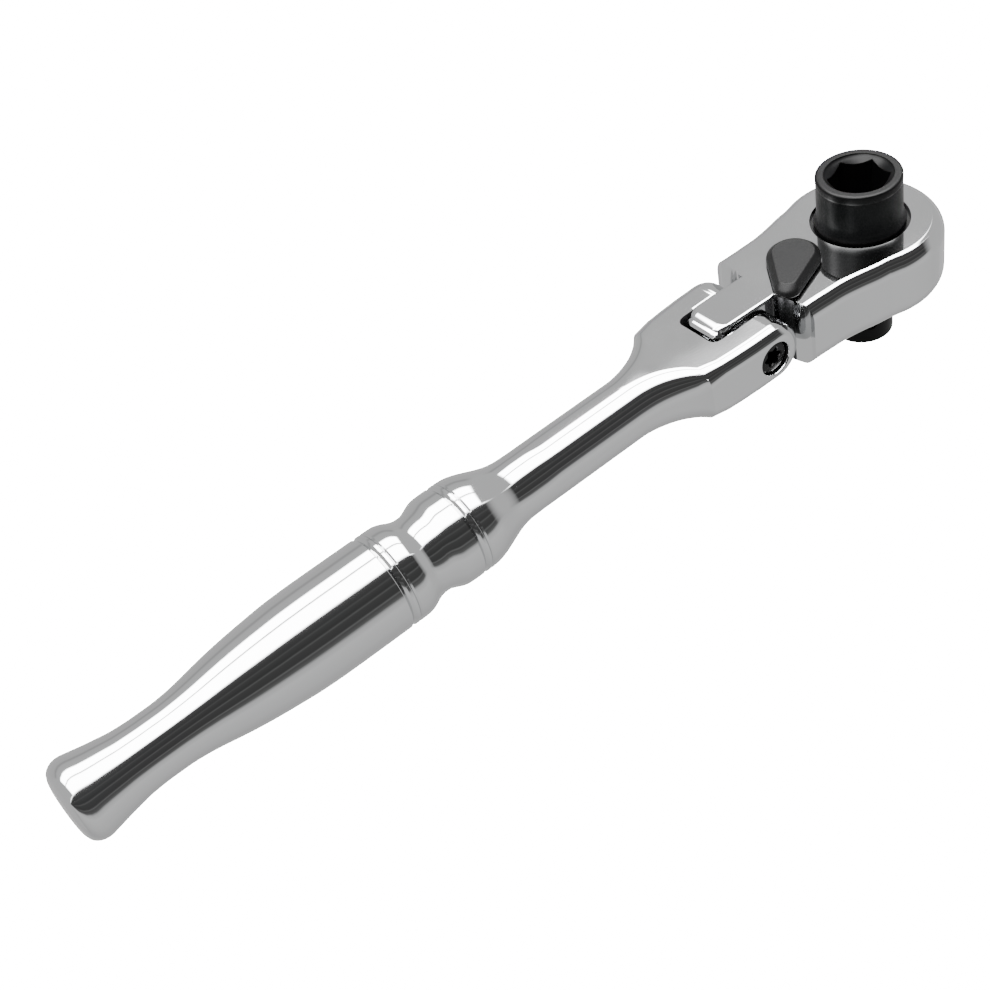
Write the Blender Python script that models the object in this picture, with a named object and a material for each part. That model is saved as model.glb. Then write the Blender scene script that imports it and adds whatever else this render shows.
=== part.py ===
"""Flex-head ratchet wrench with a through drive and one socket at each end of the drive."""
import math

import bmesh
import bpy
from mathutils import Matrix, Vector

MM = 0.001

# overall layout, millimetres
OVERALL_LENGTH = 190.06
HEAD_RADIUS = 15.3
DRIVE_X = OVERALL_LENGTH / 2 - HEAD_RADIUS
AXIS_Z = 18.3
HINGE_BACK = 33.1
HEAD_FLEX_DEG = 2.5

# head
HEAD_HALF_HEIGHT = 6.75
HEAD_FILLET = 2.6
SHOULDER_HALF_WIDTH = 12.2
TONGUE_HALF_WIDTH = 4.4
TONGUE_END_RADIUS = 9.0
TONGUE_EDGE_RADIUS = 2.0
DETENT_STEP_DEG = 15.0
BORE_RADIUS = 9.24
BORE_FLOOR_Z = -4.5
FLOOR_HOLE_RADIUS = 7.35
RING_GROOVE_RADIUS = 9.9
RING_GROOVE_Z = 5.0
RING_THICKNESS = 0.8

# drive with its two hex sockets
UPPER_RADIUS = 7.9
UPPER_RIM_Z = 16.75
UPPER_HEX_AF = 10.0
UPPER_HEX_DEPTH = 11.5
LIP_RADIUS = 8.47
LOWER_RADIUS = 5.8
LOWER_RIM_Z = -18.3
LOWER_HEX_AF = 8.0
LOWER_HEX_DEPTH = 11.0
GEAR_TEETH = 36
GEAR_TIP_RADIUS = 8.85
GEAR_ROOT_RADIUS = 8.15
GEAR_TOP_Z = 4.1
GEAR_BOTTOM_Z = -3.7

# reversing gear in the head
LEVER_X = -17.1
LEVER_SWING_DEG = 38.0
LEVER_STEM_RADIUS = 2.3
LEVER_DISC_RADIUS = 4.9
PIN_X = -12.1
PIN_RADIUS = 1.2
PAWL_TILT_DEG = 6.0
PAWL_HALF_HEIGHT = 3.6
PLUNGER_REACH = 2.35

# handle
YOKE_HALF_WIDTH = 11.35
YOKE_REAR_HALF_WIDTH = 10.6
YOKE_HALF_HEIGHT = 5.9
EAR_TIP_BACK = 32.3
SCOOP_START = -59.2
SCOOP_RADIUS = 17.0
YOKE_FILLET = 2.6
SLOT_HALF_WIDTH = 5.0
SLOT_REACH = 10.05
SHANK_RADIUS = 5.62
COUNTERBORE_RADIUS = 3.22
COUNTERBORE_DEPTH = 3.4
SCREW_SHANK_RADIUS = 2.1
DETENT_BALL_RADIUS = 1.15
RETAINING_BALL_RADIUS = 1.25
RETAINING_BALL_Z = -13.8
RETAINING_BALL_DEG = -120.0
HEX_TURN_DEG = 19.0


def clear_scene():
    for obj in list(bpy.data.objects):
        bpy.data.objects.remove(obj, do_unlink=True)


def make_material(name, colour, metallic, roughness):
    material = bpy.data.materials.new(name)
    material.use_nodes = True
    shader = material.node_tree.nodes["Principled BSDF"]
    shader.inputs["Base Color"].default_value = (colour[0], colour[1], colour[2], 1.0)
    shader.inputs["Metallic"].default_value = metallic
    shader.inputs["Roughness"].default_value = roughness
    return material


def new_object(name, verts, faces):
    mesh = bpy.data.meshes.new(name)
    mesh.from_pydata([(x * MM, y * MM, z * MM) for x, y, z in verts], [], faces)
    mesh.update()
    obj = bpy.data.objects.new(name, mesh)
    bpy.context.scene.collection.objects.link(obj)
    return obj


def loft(name, rings):
    """Closed body through rings of equal vertex count, with flat end caps."""
    count = len(rings[0])
    verts = [point for ring in rings for point in ring]
    faces = []
    for k in range(len(rings) - 1):
        for i in range(count):
            j = (i + 1) % count
            faces.append((k * count + i, k * count + j, (k + 1) * count + j, (k + 1) * count + i))
    faces.append(tuple(reversed(range(count))))
    faces.append(tuple((len(rings) - 1) * count + i for i in range(count)))
    obj = new_object(name, verts, faces)
    face_outward(obj)
    return obj


def face_outward(obj):
    work = bmesh.new()
    work.from_mesh(obj.data)
    bmesh.ops.recalc_face_normals(work, faces=work.faces)
    if work.calc_volume(signed=True) < 0:
        bmesh.ops.reverse_faces(work, faces=work.faces)
    work.to_mesh(obj.data)
    work.free()


def ring_z(radius, z, count, cx=0.0, cy=0.0, turn=0.0):
    step = 2 * math.pi / count
    return [(cx + radius * math.cos(turn + step * i), cy + radius * math.sin(turn + step * i), z)
            for i in range(count)]


def lathe_z(name, profile, count, cx=0.0, cy=0.0):
    """Solid of revolution about a vertical line; profile holds (radius, z) pairs."""
    return loft(name, [ring_z(radius, z, count, cx, cy) for radius, z in profile])


def lathe_y(name, profile, count, cx, cz):
    """Solid of revolution about a line along Y; profile holds (radius, y) pairs."""
    step = 2 * math.pi / count
    rings = []
    for radius, y in profile:
        rings.append([(cx + radius * math.cos(step * i), y, cz + radius * math.sin(step * i))
                      for i in range(count)])
    return loft(name, rings)


def lathe_x(name, profile, count, cy=0.0, cz=0.0):
    """Solid of revolution about a line along X; profile holds (radius, x) pairs."""
    step = 2 * math.pi / count
    rings = []
    for radius, x in profile:
        rings.append([(x, cy + radius * math.cos(step * i), cz + radius * math.sin(step * i))
                      for i in range(count)])
    return loft(name, rings)


def prism_z(name, outline, z0, z1):
    return loft(name, [[(x, y, z0) for x, y in outline], [(x, y, z1) for x, y in outline]])


def washer(name, inner, outer, z0, z1, count, cx=0.0, cy=0.0, gap_deg=0.0, start_deg=0.0):
    """Flat ring, or an open clip when gap_deg is set."""
    if gap_deg == 0.0:
        rings = [ring_z(outer, z0, count, cx, cy), ring_z(outer, z1, count, cx, cy),
                 ring_z(inner, z1, count, cx, cy), ring_z(inner, z0, count, cx, cy)]
        verts = [point for ring in rings for point in ring]
        faces = []
        for k in range(4):
            for i in range(count):
                j = (i + 1) % count
                n = (k + 1) % 4
                faces.append((k * count + i, k * count + j, n * count + j, n * count + i))
        obj = new_object(name, verts, faces)
        face_outward(obj)
        return obj
    span = math.radians(360.0 - gap_deg)
    first = math.radians(start_deg + gap_deg / 2)
    outline = []
    for i in range(count + 1):
        a = first + span * i / count
        outline.append((cx + outer * math.cos(a), cy + outer * math.sin(a)))
    for i in range(count, -1, -1):
        a = first + span * i / count
        outline.append((cx + inner * math.cos(a), cy + inner * math.sin(a)))
    return prism_z(name, outline, z0, z1)


def ball(name, radius, centre, segments=12, rings=8):
    work = bmesh.new()
    bmesh.ops.create_uvsphere(work, u_segments=segments, v_segments=rings, radius=radius * MM)
    mesh = bpy.data.meshes.new(name)
    work.to_mesh(mesh)
    work.free()
    obj = bpy.data.objects.new(name, mesh)
    bpy.context.scene.collection.objects.link(obj)
    move_mesh(obj, centre)
    return obj


def coil(name, radius, wire, length, turns, steps_per_turn=9, sides=5):
    """Compression spring along +X with flat cut ends, starting at the origin."""
    rings = []
    total = int(turns * steps_per_turn)
    for k in range(total + 1):
        a = 2 * math.pi * k / steps_per_turn
        x = wire + (length - 2 * wire) * k / total
        ring = []
        for i in range(sides):
            b = 2 * math.pi * i / sides
            r = radius + wire * math.cos(b)
            ring.append((x + wire * math.sin(b), r * math.cos(a), r * math.sin(a)))
        rings.append(ring)
    return loft(name, rings)


def move_mesh(obj, offset):
    obj.data.transform(Matrix.Translation(Vector(offset) * MM))


def turn_mesh(obj, degrees, axis, centre):
    there = Matrix.Translation(Vector(centre) * MM)
    back = Matrix.Translation(Vector(centre) * -MM)
    obj.data.transform(there @ Matrix.Rotation(math.radians(degrees), 4, axis) @ back)


def apply_boolean(target, tool, operation):
    modifier = target.modifiers.new("cut", "BOOLEAN")
    modifier.operation = operation
    modifier.solver = "EXACT"
    modifier.object = tool
    depsgraph = bpy.context.evaluated_depsgraph_get()
    mesh = bpy.data.meshes.new_from_object(target.evaluated_get(depsgraph))
    target.modifiers.clear()
    old = target.data
    target.data = mesh
    bpy.data.meshes.remove(old)
    bpy.data.objects.remove(tool, do_unlink=True)


def cut(target, *tools):
    for tool in tools:
        apply_boolean(target, tool, "DIFFERENCE")


def join(target, *tools):
    for tool in tools:
        apply_boolean(target, tool, "UNION")


def rounded_section(x, half_y, half_z, radius, per_corner=7):
    """Rounded rectangle in the YZ plane at x; a circle when both halves equal the radius."""
    points = []
    for corner, (sy, sz) in enumerate(((1, 1), (-1, 1), (-1, -1), (1, -1))):
        cy = sy * (half_y - radius)
        cz = sz * (half_z - radius)
        for i in range(per_corner):
            a = math.pi / 2 * (corner + (i + 0.5) / per_corner)
            points.append((x, cy + radius * math.cos(a), cz + radius * math.sin(a)))
    return points


def bezier_outline(points, per_span):
    """Catmull-Rom curve through the given open list of plan points."""
    result = []
    last = len(points) - 1
    for k in range(last):
        p0 = points[max(k - 1, 0)]
        p1 = points[k]
        p2 = points[k + 1]
        p3 = points[min(k + 2, last)]
        for i in range(per_span):
            t = i / per_span
            value = []
            for c in range(2):
                value.append(0.5 * (2 * p1[c] + (p2[c] - p0[c]) * t
                                    + (2 * p0[c] - 5 * p1[c] + 4 * p2[c] - p3[c]) * t * t
                                    + (3 * p1[c] - p0[c] - 3 * p2[c] + p3[c]) * t ** 3))
            result.append(tuple(value))
    result.append(points[last])
    return result


def head_outline():
    """Plan of the head, run on behind the shoulders so that the rear can be cut square."""
    wide = SHOULDER_HALF_WIDTH
    side = [(-30.0, wide), (-22.5, wide), (-19.5, wide + 0.1), (-16.0, wide + 0.25),
            (-12.5, wide + 0.65), (-9.0, wide + 1.4), (-6.6, 14.0)]
    rear = side[:1] + bezier_outline(side[1:], 2)
    nose = []
    first = math.degrees(math.atan2(14.56, -4.7))
    for i in range(25):
        a = math.radians(first * (1 - 2 * i / 24))
        nose.append((HEAD_RADIUS * math.cos(a), HEAD_RADIUS * math.sin(a)))
    outline = rear + nose
    outline += [(x, -y) for x, y in reversed(rear)]
    outline.reverse()
    return outline


def inset(outline, distance):
    """Moves a counter-clockwise outline inwards by a fixed distance."""
    count = len(outline)
    result = []
    for i in range(count):
        p = Vector(outline[i])
        a = (p - Vector(outline[i - 1])).normalized()
        b = (Vector(outline[(i + 1) % count]) - p).normalized()
        na = Vector((-a.y, a.x))
        nb = Vector((-b.y, b.x))
        n = (na + nb).normalized()
        p = p + n * distance / max(n.dot(na), 0.5)
        result.append((p.x, p.y))
    return result


def pillow(name, outline, half_height, fillet, steps=4):
    """Plan outline with its upper and lower edges rounded."""
    rings = []
    levels = []
    for k in range(steps + 1):
        a = math.pi / 2 * k / steps
        levels.append((fillet * (1 - math.sin(a)), -half_height + fillet * (1 - math.cos(a))))
    levels += [(d, -z) for d, z in reversed(levels)]
    for distance, z in levels:
        rings.append([(x, y, z) for x, y in inset(outline, distance)])
    return loft(name, rings)


def rear_cut_outline():
    """Everything behind the rear face: hollow corners beside the tongue, square shoulders."""
    half = [(-26.1, 0.0), (-26.1, 4.9)]
    for i in range(4):
        a = math.radians(-42 + 42 * i / 3)
        half.append((-27.5 + 1.9 * math.cos(a), 6.3 + 1.9 * math.sin(a)))
    half += [(-25.4, 8.2), (-25.1, 9.4), (-24.75, 10.6), (-24.5, 11.4), (-24.3, 14.0), (-45.0, 14.0)]
    return [(x, -y) for x, y in reversed(half)] + half[1:]


def tongue_outline(end_radius):
    """Side view of the tongue: flat top and bottom, notched round end about the hinge."""
    top = HEAD_HALF_HEIGHT
    edge = TONGUE_EDGE_RADIUS
    z = top - edge
    x = math.sqrt((end_radius - edge) ** 2 - z ** 2)
    lean = math.degrees(math.atan2(z, x))
    corner = []
    for i in range(5):
        a = math.radians(90 + (90 - lean) * i / 4)
        corner.append((-HINGE_BACK - x + edge * math.cos(a), z + edge * math.sin(a)))
    points = [(-20.0, -top)] + [(px, -pz) for px, pz in corner]
    steps = 48
    for i in range(1, steps):
        a = 180 + lean - 2 * lean * i / steps
        offset = (a - 180 - HEAD_FLEX_DEG) % DETENT_STEP_DEG
        offset = min(offset, DETENT_STEP_DEG - offset)
        r = end_radius - 0.3 * max(0.0, 1 - (offset / 3.6) ** 2)
        points.append((-HINGE_BACK + r * math.cos(math.radians(a)), r * math.sin(math.radians(a))))
    points += list(reversed(corner))
    points.append((-20.0, top))
    return points


def build_head():
    head = pillow("head_body", head_outline(), HEAD_HALF_HEIGHT, HEAD_FILLET)
    cut(head, prism_z("tool", rear_cut_outline(), -9, 9))
    w = TONGUE_HALF_WIDTH
    rings = []
    for y, less in ((-w, 1.9), (-w + 0.27, 0.97), (-w + 1.0, 0.27), (-w + 2.0, 0.0)):
        rings.append([(x, y, z) for x, z in tongue_outline(TONGUE_END_RADIUS - less)])
    for ring in reversed(rings[:]):
        rings.append([(x, -y, z) for x, y, z in ring])
    join(head, loft("tool", rings))
    # gear bore with its floor, ring groove and drive opening
    cut(head, lathe_z("tool", [(FLOOR_HOLE_RADIUS, -9), (FLOOR_HOLE_RADIUS, BORE_FLOOR_Z),
                               (BORE_RADIUS, BORE_FLOOR_Z), (BORE_RADIUS, RING_GROOVE_Z),
                               (RING_GROOVE_RADIUS, RING_GROOVE_Z),
                               (RING_GROOVE_RADIUS, RING_GROOVE_Z + RING_THICKNESS + 0.2),
                               (BORE_RADIUS, RING_GROOVE_Z + RING_THICKNESS + 0.2),
                               (BORE_RADIUS, HEAD_HALF_HEIGHT - 0.3),
                               (BORE_RADIUS + 0.3, HEAD_HALF_HEIGHT + 0.02),
                               (BORE_RADIUS + 0.3, 9)], 60))
    # pocket that holds the pawl between the gear and the lever stem
    pocket = [(-5.5, -8.7), (-5.5, 8.7), (-10.5, 8.9), (-13.6, 8.2), (-16.4, 4.6), (-20.2, 3.1),
              (-21.4, 0.0), (-20.2, -3.1), (-16.4, -4.6), (-13.6, -8.2), (-10.5, -8.9)]
    cut(head, prism_z("tool", pocket, BORE_FLOOR_Z + 0.01, 4.2))
    cut(head, lathe_z("tool", [(PIN_RADIUS + 0.02, -9), (PIN_RADIUS + 0.02, 5.4)], 24, PIN_X))
    stem = LEVER_STEM_RADIUS
    cut(head, lathe_z("tool", [(stem - 0.6, -5.6), (stem - 0.6, -4.6), (stem + 0.15, -4.3),
                               (stem + 0.15, HEAD_HALF_HEIGHT - 0.9),
                               (LEVER_DISC_RADIUS + 0.15, HEAD_HALF_HEIGHT - 0.9),
                               (LEVER_DISC_RADIUS + 0.15, 9)], 40, LEVER_X))
    # cross bore for the pivot screw
    radius = SCREW_SHANK_RADIUS + 0.15
    cut(head, lathe_y("tool", [(radius, -9), (radius, 9)], 32, -HINGE_BACK, 0))
    return head


def gear_ring(z, tip, root):
    ring = []
    step = 2 * math.pi / GEAR_TEETH
    for i in range(GEAR_TEETH):
        ring.append((tip * math.cos(step * i), tip * math.sin(step * i), z))
        ring.append((root * math.cos(step * (i + 0.5)), root * math.sin(step * (i + 0.5)), z))
    return ring


def hexagon(across_flats, z):
    radius = across_flats / math.sqrt(3)
    return ring_z(radius, z, 6, turn=math.radians(HEX_TURN_DEG))


def build_drive():
    n = GEAR_TEETH * 2
    rings = []
    for radius, z in ((LOWER_RADIUS - 0.3, LOWER_RIM_Z), (LOWER_RADIUS, LOWER_RIM_Z + 0.3),
                      (LOWER_RADIUS, -7.2), (7.0, -6.6), (7.0, GEAR_BOTTOM_Z - 0.02)):
        rings.append(ring_z(radius, z, n))
    rings.append(ring_z(GEAR_ROOT_RADIUS - 0.1, GEAR_BOTTOM_Z, n))
    rings.append(gear_ring(GEAR_BOTTOM_Z + 0.25, GEAR_TIP_RADIUS, GEAR_ROOT_RADIUS))
    rings.append(gear_ring(GEAR_TOP_Z - 0.25, GEAR_TIP_RADIUS, GEAR_ROOT_RADIUS))
    rings.append(ring_z(GEAR_ROOT_RADIUS - 0.1, GEAR_TOP_Z, n))
    for radius, z in ((UPPER_RADIUS, 4.5), (UPPER_RADIUS, 6.2), (LIP_RADIUS - 0.2, 6.25),
                      (LIP_RADIUS, 6.5), (LIP_RADIUS, 7.1), (LIP_RADIUS - 0.17, 7.42), (8.0, 8.2),
                      (UPPER_RADIUS, 9.5), (UPPER_RADIUS, UPPER_RIM_Z - 1.75), (7.96, UPPER_RIM_Z - 1.45),
                      (7.96, UPPER_RIM_Z - 0.35), (7.8, UPPER_RIM_Z - 0.08), (7.5, UPPER_RIM_Z)):
        rings.append(ring_z(radius, z, n))
    drive = loft("drive_gear", rings)
    top = UPPER_RIM_Z
    cut(drive, loft("tool", [hexagon(UPPER_HEX_AF, top - UPPER_HEX_DEPTH), hexagon(UPPER_HEX_AF, top + 2)]))
    cut(drive, lathe_z("tool", [(4.9, top - 1.25), (6.3, top), (6.35, top + 1)], 48))
    low = LOWER_RIM_Z
    cut(drive, loft("tool", [hexagon(LOWER_HEX_AF, low - 2), hexagon(LOWER_HEX_AF, low + LOWER_HEX_DEPTH)]))
    cut(drive, lathe_z("tool", [(4.75, low - 1), (4.7, low), (3.9, low + 0.8)], 48))
    # radial hole for the bit retaining ball
    hole = lathe_x("tool", [(0.95, 3.0), (0.95, 3.95), (1.35, 4.15), (1.35, 7.0)], 20, 0, RETAINING_BALL_Z)
    turn_mesh(hole, RETAINING_BALL_DEG, "Z", (0, 0, 0))
    cut(drive, hole)
    return drive


def turned(point, degrees, centre):
    a = math.radians(degrees)
    x = point[0] - centre[0]
    y = point[1] - centre[1]
    return (centre[0] + x * math.cos(a) - y * math.sin(a), centre[1] + x * math.sin(a) + y * math.cos(a))


def build_pawl():
    """Rocker with a toothed toe at each end, tipped against the gear on the +Y side."""
    half = [(-9.36, 1.65), (-8.93, 3.25)]
    for degrees, radius in ((150, GEAR_TIP_RADIUS), (145, GEAR_ROOT_RADIUS), (140, GEAR_TIP_RADIUS),
                            (135, GEAR_ROOT_RADIUS), (130, GEAR_TIP_RADIUS)):
        a = math.radians(degrees)
        r = radius + 0.18
        half.append(turned((r * math.cos(a), r * math.sin(a)), PAWL_TILT_DEG, (PIN_X, 0)))
    half += [(-7.6, 7.9), (-11.4, 7.5), (-13.2, 5.6), (-14.4, 3.6), (-15.1, 2.5), (-15.2, 1.9),
             (-14.85, 1.2), (-14.65, 0.5)]
    outline = [(-9.5, 0.0)] + half + [(-14.6, 0.0)] + [(x, -y) for x, y in reversed(half)]
    pawl = prism_z("pawl", outline, -PAWL_HALF_HEIGHT, PAWL_HALF_HEIGHT)
    cut(pawl, lathe_z("tool", [(PIN_RADIUS + 0.1, -9), (PIN_RADIUS + 0.1, 9)], 24, PIN_X))
    turn_mesh(pawl, -PAWL_TILT_DEG, "Z", (PIN_X, 0, 0))
    return pawl


def lever_outline(hub, tip, length, steps=14):
    """Teardrop in plan: round hub at the origin, narrower round end along +X."""
    lean = math.acos((hub - tip) / length)
    points = []
    for i in range(steps + 1):
        a = lean + (2 * math.pi - 2 * lean) * i / steps
        points.append((hub * math.cos(a), hub * math.sin(a)))
    half = steps // 2
    for i in range(half + 1):
        a = -lean + 2 * lean * i / half
        points.append((length + tip * math.cos(a), tip * math.sin(a)))
    return points


def build_lever():
    """Thumb lever, its round base and the stem below, pointing to the near side."""
    base_z = HEAD_HALF_HEIGHT + 0.3
    rings = []
    for hub, tip, length, height in ((4.85, 2.35, 8.92, 0.0), (4.98, 2.44, 8.97, 0.3), (4.94, 2.4, 8.92, 0.85),
                                     (4.7, 2.18, 8.62, 1.45), (4.0, 1.88, 8.0, 2.05), (3.72, 1.7, 7.8, 2.18)):
        rings.append([(x, y, base_z + height) for x, y in lever_outline(hub, tip, length)])
    lever = loft("reversing_lever", rings)
    stem = LEVER_STEM_RADIUS
    join(lever, lathe_z("tool", [(stem - 0.7, -5.5), (stem - 0.7, -4.0), (stem, -3.9), (stem, 5.3),
                                 (stem, 6.4), (stem, 7.9)], 32))
    # radial bore in the stem for the plunger and its spring, on the side away from the thumb end
    cut(lever, lathe_x("tool", [(1.2, -4.0), (1.2, 0.9)], 20))
    cut(lever, washer("tool", 1.5, 2.6, 3.65, 4.05, 24))
    turn_mesh(lever, 180 + LEVER_SWING_DEG, "Z", (0, 0, 0))
    move_mesh(lever, (LEVER_X, 0, 0))
    return lever


def build_lever_disc():
    disc = washer("lever_base_washer", LEVER_STEM_RADIUS + 0.12, LEVER_DISC_RADIUS,
                  HEAD_HALF_HEIGHT - 0.88, HEAD_HALF_HEIGHT + 0.27, 40)
    move_mesh(disc, (LEVER_X, 0, 0))
    return disc


def build_plunger():
    plunger = lathe_x("pawl_plunger", [(0.75, 0.3), (1.05, 0.35), (1.08, 1.5), (0.95, 1.85),
                                       (0.6, 2.2), (0.15, PLUNGER_REACH)], 20)
    spring = coil("pawl_spring", 0.75, 0.13, 1.05, 2.3)
    move_mesh(spring, (-0.8, 0, 0))
    for obj in (plunger, spring):
        turn_mesh(obj, LEVER_SWING_DEG, "Z", (0, 0, 0))
        move_mesh(obj, (LEVER_X, 0, 0))
    return plunger, spring


def build_handle():
    """One forging: pommel, grip, two collars, shank and the forked yoke, along the hinge line."""
    sections = []
    grip = ((-174.86, 1.6), (-174.7, 4.2), (-174.25, 5.85), (-173.4, 6.85), (-172.4, 7.3), (-171.3, 7.45),
            (-169.8, 7.2), (-167.6, 6.75), (-165.0, 6.3), (-162.4, 5.92), (-159.0, 5.75), (-155.5, 5.76),
            (-152.6, 5.95), (-149.6, 6.35), (-146.6, 6.87), (-143.4, 7.38), (-139.8, 7.83), (-135.4, 8.26),
            (-131.0, 8.6), (-126.0, 8.76), (-113.9, 8.76), (-113.3, 8.35), (-112.7, 8.76),
            (-112.0, 8.76), (-111.7, 8.6), (-111.4, 8.74), (-109.2, 8.72), (-108.2, 8.45), (-106.9, 7.85),
            (-105.6, 7.42), (-104.2, 7.38), (-102.9, 7.8), (-101.9, 8.3), (-100.9, 8.56), (-98.3, 8.6),
            (-97.7, 8.2), (-97.1, 8.6), (-96.5, 8.6), (-96.2, 8.45), (-95.9, 8.6), (-94.4, 8.56),
            (-92.8, 8.2), (-90.8, 7.5), (-88.8, 6.75), (-86.8, 6.1), (-84.8, 5.82))
    for x, radius in grip:
        sections.append(rounded_section(x, radius, radius, radius - 0.001))
    shank = SHANK_RADIUS
    for x, half_z, corner in ((-81.5, 5.74, 5.73), (-77.0, shank, 5.3), (-66.0, shank, 5.3)):
        sections.append(rounded_section(x, half_z, half_z, corner))
    reach = math.sqrt(SCOOP_RADIUS ** 2 - (SCOOP_RADIUS - YOKE_REAR_HALF_WIDTH + shank) ** 2)
    for i in range(9):
        t = i / 8
        x = SCOOP_START + reach * t
        half_y = shank + SCOOP_RADIUS - math.sqrt(SCOOP_RADIUS ** 2 - (x - SCOOP_START) ** 2)
        half_z = shank + (YOKE_HALF_HEIGHT - shank) * min(2 * t, 1.0)
        sections.append(rounded_section(x, half_y, half_z, 5.3 - 2.1 * t * t))
    for x, half_y in ((-41.0, 11.1), (-EAR_TIP_BACK, YOKE_HALF_WIDTH)):
        sections.append(rounded_section(x, half_y, YOKE_HALF_HEIGHT, YOKE_FILLET))
    handle = loft("handle", sections)
    profile = []
    for i in range(7):
        a = math.pi / 2 * i / 6
        profile.append((YOKE_HALF_HEIGHT - YOKE_FILLET + YOKE_FILLET * math.sin(a),
                        -YOKE_HALF_WIDTH + YOKE_FILLET - YOKE_FILLET * math.cos(a)))
    profile += [(radius, -y) for radius, y in reversed(profile)]
    join(handle, lathe_y("tool", profile, 48, -EAR_TIP_BACK, 0))
    s = SLOT_HALF_WIDTH
    bowl = [(SLOT_REACH - 1.4, -s), (SLOT_REACH - 0.41, -s + 0.41), (SLOT_REACH, -s + 1.4)]
    bowl += [(radius, -y) for radius, y in reversed(bowl)]
    cut(handle, prism_z("tool", [(-HINGE_BACK - 4, -s), (-20, -s), (-20, s), (-HINGE_BACK - 4, s)], -9, 9))
    cut(handle, lathe_y("tool", bowl, 80, -HINGE_BACK, 0))
    root = -HINGE_BACK - SLOT_REACH
    inner = -YOKE_HALF_WIDTH + COUNTERBORE_DEPTH
    face = -YOKE_HALF_WIDTH
    cut(handle, lathe_y("tool", [(COUNTERBORE_RADIUS + 0.3, -14), (COUNTERBORE_RADIUS + 0.3, face - 0.1),
                                 (COUNTERBORE_RADIUS, face + 0.25),
                                 (COUNTERBORE_RADIUS, inner), (SCREW_SHANK_RADIUS + 0.12, inner),
                                 (SCREW_SHANK_RADIUS + 0.12, 14)], 32, -HINGE_BACK, 0))
    cut(handle, lathe_x("tool", [(0.5, root - 7.5), (DETENT_BALL_RADIUS + 0.05, root - 6.9),
                                 (DETENT_BALL_RADIUS + 0.05, root + 3)], 20))
    return handle


def build_screw():
    inner = -YOKE_HALF_WIDTH + COUNTERBORE_DEPTH - 0.03
    head_top = -YOKE_HALF_WIDTH + 0.75
    r = COUNTERBORE_RADIUS - 0.12
    s = SCREW_SHANK_RADIUS
    screw = lathe_y("pivot_screw", [(r - 0.5, head_top), (r, head_top + 0.4), (r, inner), (s, inner),
                                    (s, 10.3), (s - 0.5, 10.8)], 32, -HINGE_BACK, 0)
    lobes = []
    for i in range(36):
        a = 2 * math.pi * i / 36
        radius = 1.62 + 0.26 * math.cos(6 * a)
        lobes.append((radius * math.cos(a), radius * math.sin(a)))
    x0 = -HINGE_BACK
    star = loft("tool", [[(x0 + x, head_top - 1, z) for x, z in lobes],
                         [(x0 + x, head_top + 1.7, z) for x, z in lobes]])
    cut(screw, star)
    return screw


def build_pivot_washer(name, y0, y1):
    """Friction washer between the tongue and one ear, dished by its own thickness."""
    inner = SCREW_SHANK_RADIUS + 0.15
    ring = washer(name, inner, 4.6, y0, y1, 36)
    ring.data.transform(Matrix.Rotation(math.radians(-90), 4, "X"))
    move_mesh(ring, (-HINGE_BACK, 0, 0))
    return ring


def tilt_with_handle(objects):
    """The handle side stands a little off the line of the head."""
    for obj in objects:
        turn_mesh(obj, -HEAD_FLEX_DEG, "Y", (-HINGE_BACK, 0, 0))


def place(obj, pivot, material):
    """Moves a finished part to the shared frame and puts its origin on its joint axis."""
    where = Vector((DRIVE_X + pivot[0], pivot[1], AXIS_Z + pivot[2])) * MM
    move_mesh(obj, (-pivot[0], -pivot[1], -pivot[2]))
    obj.location = where
    obj.data.materials.clear()
    obj.data.materials.append(material)


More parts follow.
